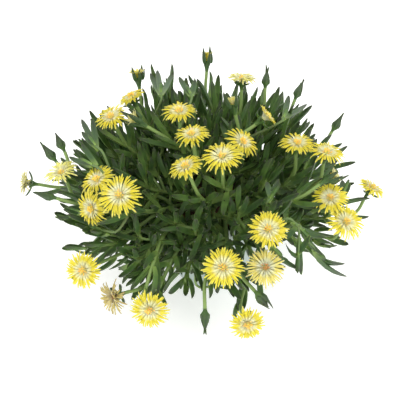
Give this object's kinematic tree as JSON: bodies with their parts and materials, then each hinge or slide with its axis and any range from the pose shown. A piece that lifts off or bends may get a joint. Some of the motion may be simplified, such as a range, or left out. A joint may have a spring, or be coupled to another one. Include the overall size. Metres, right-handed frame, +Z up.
{
  "type": "potted yellow ice plant",
  "caption": "Round nursery pot of potting mix with a wide mound of fleshy-leaved stems, green buds and many-petalled yellow blooms.",
  "frame": {"origin": "middle of the pot's flat underside", "axes": "+Z up along the pot's axis, +X to the right in the picture, along the plant's widest way, -Y towards the viewer"},
  "size_m": [0.3626, 0.3361, 0.2147],
  "materials": {
    "pot": "satin moulded plastic",
    "soil": "damp bark and peat",
    "leaf": "satin fleshy leaf",
    "petal": "satin petal"
  },
  "bodies": {
    "root": {"pot": "pot", "soil": "soil", "branch_01": "leaf", "branch_02": "leaf", "branch_03": "leaf", "branch_04": "leaf", "branch_05": "leaf", "branch_06": "leaf", "branch_07": "leaf", "branch_08": "leaf", "branch_09": "leaf", "branch_10": "leaf", "branch_11": "leaf", "branch_12": "leaf", "branch_13": "leaf", "branch_14": "leaf", "branch_15": "leaf", "branch_16": "leaf", "branch_17": "leaf", "branch_18": "leaf", "branch_19": "leaf", "branch_20": "leaf", "branch_21": "leaf", "branch_22": "leaf", "branch_23": "leaf", "branch_24": "leaf", "branch_25": "leaf", "branch_26": "leaf", "bloom_01": "petal", "bloom_02": "petal", "bloom_03": "petal", "bloom_04": "petal", "bloom_05": "petal", "bloom_06": "petal", "bloom_07": "petal", "bloom_08": "petal", "bloom_09": "petal", "bloom_10": "petal", "bloom_11": "petal", "bloom_12": "petal", "bloom_13": "petal", "bloom_14": "petal", "bloom_15": "petal", "bloom_16": "petal", "bloom_17": "petal", "bloom_18": "petal", "bloom_19": "petal", "bloom_20": "petal", "bloom_21": "petal", "bloom_22": "petal", "bloom_23": "petal", "bloom_24": "petal", "bloom_25": "petal", "bloom_26": "petal", "half_open_01": "petal", "half_open_02": "petal", "half_open_03": "petal", "half_open_04": "petal", "half_open_05": "petal"}
  },
  "joints": []
}
